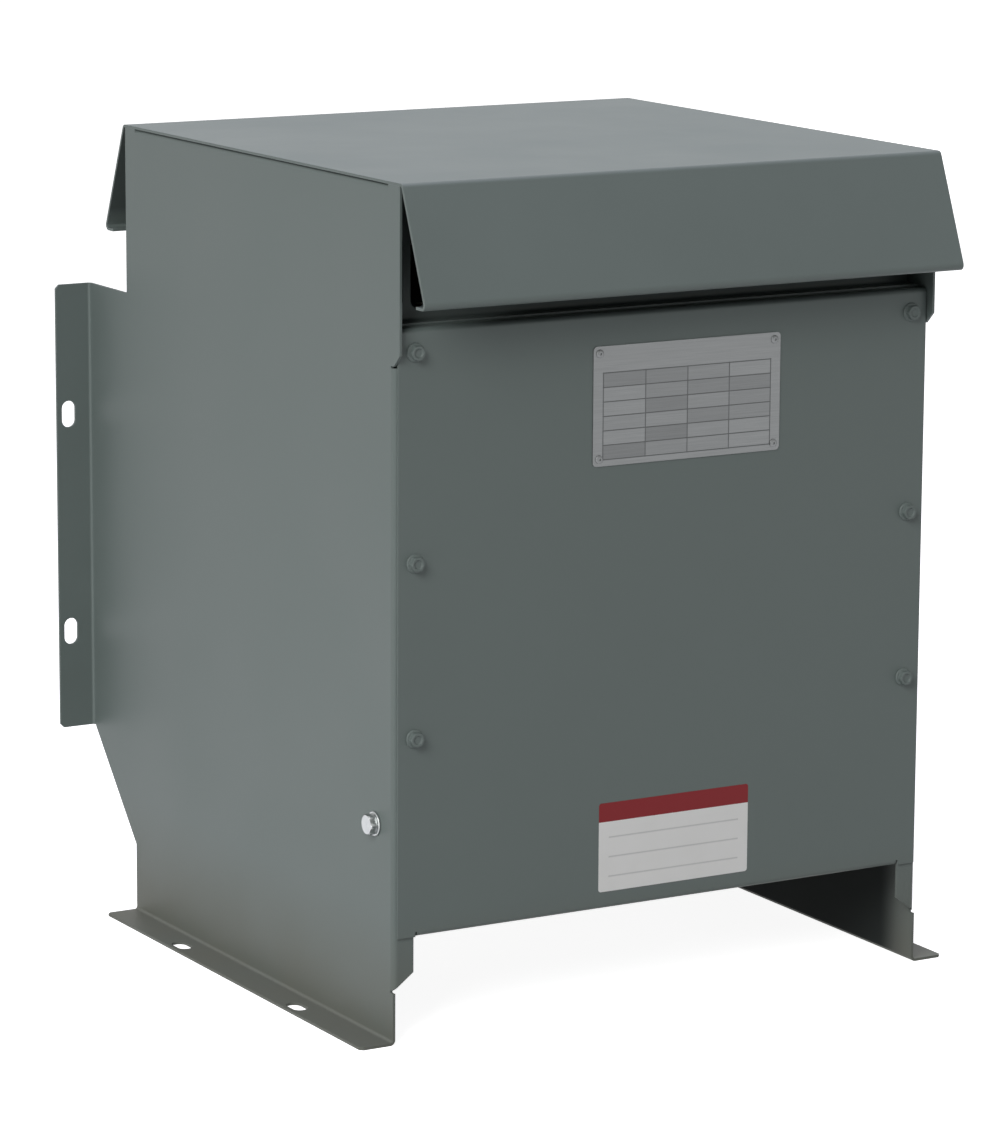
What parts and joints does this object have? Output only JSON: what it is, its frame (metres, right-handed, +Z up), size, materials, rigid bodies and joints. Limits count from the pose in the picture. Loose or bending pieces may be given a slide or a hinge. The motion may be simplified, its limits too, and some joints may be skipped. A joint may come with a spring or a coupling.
{
  "type": "ventilated dry-type isolation transformer",
  "caption": "Floor or wall mounted sheet-steel enclosure with sloping vent hoods front and rear, slotted foot and wall flanges, and a laminated core with round-cornered windings inside.",
  "frame": {"origin": "on the floor, at the middle of the whole outline", "axes": "+X to the right seen from the front, +Y back towards the wall, +Z up"},
  "size_m": [0.488, 0.513, 0.592],
  "materials": {
    "case_paint": "smooth semi-gloss grey powder coat on sheet steel",
    "nameplate_metal": "bare satin aluminium sheet",
    "pad_rubber": "moulded black rubber",
    "core_steel": "varnished silicon steel laminations",
    "clamp_paint": "brushed dark grey-green enamel on steel angle",
    "zinc_steel": "zinc plated",
    "terminal_brass": "plain brass",
    "insulating_board": "glass polyester board",
    "inner_insulation": "varnished aramid wrap",
    "winding_varnish": "baked brown varnish over taped conductor"
  },
  "bodies": {
    "root": {"left_side": "case_paint", "right_side": "case_paint", "front_panel": "case_paint", "rear_panel": "case_paint", "top_cover": "case_paint", "front_vent_grille": "case_paint", "rear_vent_grille": "case_paint", "nameplate": "nameplate_metal", "front_rail": "case_paint", "rear_rail": "case_paint", "rubber_pads": "pad_rubber", "core_lower": "core_steel", "core_upper_yoke": "core_steel", "lower_front_clamp": "clamp_paint", "lower_rear_clamp": "clamp_paint", "upper_front_clamp": "clamp_paint", "upper_rear_clamp": "clamp_paint", "lower_clamp_bolts": "zinc_steel", "upper_clamp_bolts": "zinc_steel", "left_inner_winding": "inner_insulation", "middle_inner_winding": "inner_insulation", "right_inner_winding": "inner_insulation", "left_outer_winding": "winding_varnish", "middle_outer_winding": "winding_varnish", "right_outer_winding": "winding_varnish", "left_duct_sticks": "insulating_board", "middle_duct_sticks": "insulating_board", "right_duct_sticks": "insulating_board", "lower_coil_blocks": "insulating_board", "upper_coil_blocks": "insulating_board", "terminal_board": "insulating_board", "terminal_studs": "terminal_brass"}
  },
  "joints": []
}
